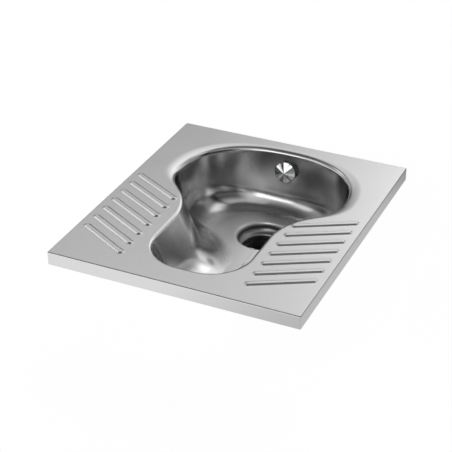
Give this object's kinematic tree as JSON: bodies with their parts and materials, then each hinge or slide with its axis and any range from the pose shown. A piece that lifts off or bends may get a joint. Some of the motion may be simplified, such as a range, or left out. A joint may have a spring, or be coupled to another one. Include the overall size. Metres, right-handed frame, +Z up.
{
  "type": "squat toilet",
  "caption": "Floor-set squat toilet pan in pressed stainless steel, with ribbed foot rests, a deep keyhole bowl, a rear flush inlet and a waste outlet below.",
  "frame": {"origin": "the middle of the plate, at the level of the skirt's lower edge, where the pan is set into the floor", "axes": "+X to the user's right, +Y to the back, where the flush inlet is, +Z up. The plate's top is at z = 0.032."},
  "size_m": [0.6, 0.7, 0.2538],
  "materials": {
    "satin_steel": "satin stainless steel, finely brushed",
    "chrome": "bright chrome on brass",
    "brass": "bare machined brass",
    "rubber": "matt black rubber",
    "damping_rubber": "dull bitumen rubber sheet",
    "plated_steel": "zinc plated steel"
  },
  "bodies": {
    "root": {"deck": "satin_steel", "bowl": "satin_steel", "waste_collar": "satin_steel", "waste_spigot": "satin_steel", "spigot_seal": "rubber", "spreader_cap": "chrome", "cap_screw": "plated_steel", "nozzle_body": "chrome", "front_gasket": "rubber", "rear_gasket": "rubber", "back_nut": "brass", "inlet_elbow": "brass", "union_seal": "rubber", "inlet_tail": "chrome", "union_nut": "brass", "left_stiffener": "satin_steel", "right_stiffener": "satin_steel", "left_damping_pad": "damping_rubber", "right_damping_pad": "damping_rubber", "fixing_lugs": "satin_steel", "earth_tag": "satin_steel", "earth_bolt": "plated_steel", "earth_washers": "plated_steel", "earth_nut": "plated_steel"}
  },
  "joints": []
}
